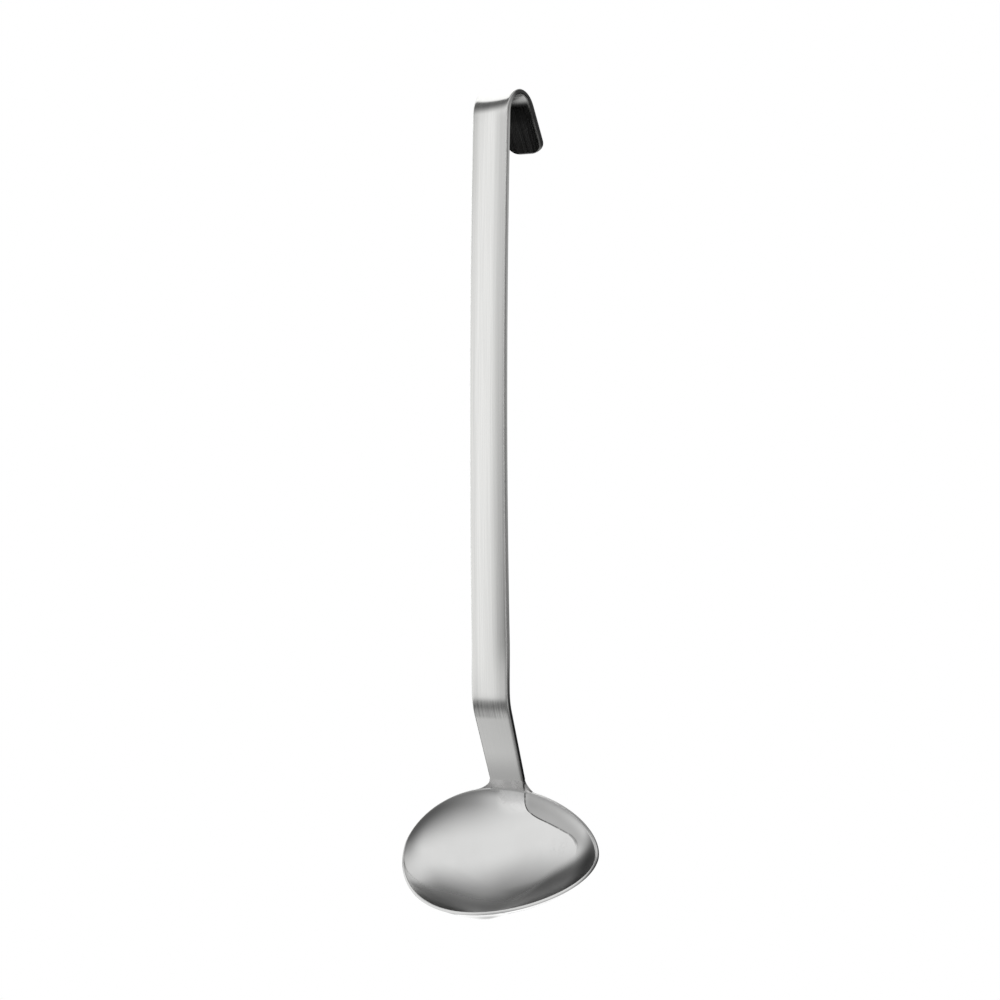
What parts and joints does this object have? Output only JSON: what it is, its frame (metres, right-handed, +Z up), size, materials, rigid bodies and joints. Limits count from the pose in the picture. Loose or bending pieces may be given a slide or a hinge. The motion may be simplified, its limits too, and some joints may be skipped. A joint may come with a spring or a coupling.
{
  "type": "sauce ladle",
  "caption": "Steel sauce ladle: a bent strip handle with a hanging hook, welded to an egg-shaped bowl that is drawn out to a pouring tip at one side.",
  "frame": {"origin": "the hook's seat: the middle of the underside of its crest, where the ladle hangs", "axes": "+Z up as it hangs, -Y towards the side that the bowl opens to, +X towards the pouring tip"},
  "size_m": [0.0934, 0.0404, 0.3318],
  "materials": {
    "handle_steel": "satin, brushed along its length",
    "bowl_steel": "polished",
    "weld_steel": "ground flush and polished"
  },
  "bodies": {
    "root": {"handle": "handle_steel", "bowl": "bowl_steel", "neck_weld": "weld_steel"}
  },
  "joints": []
}
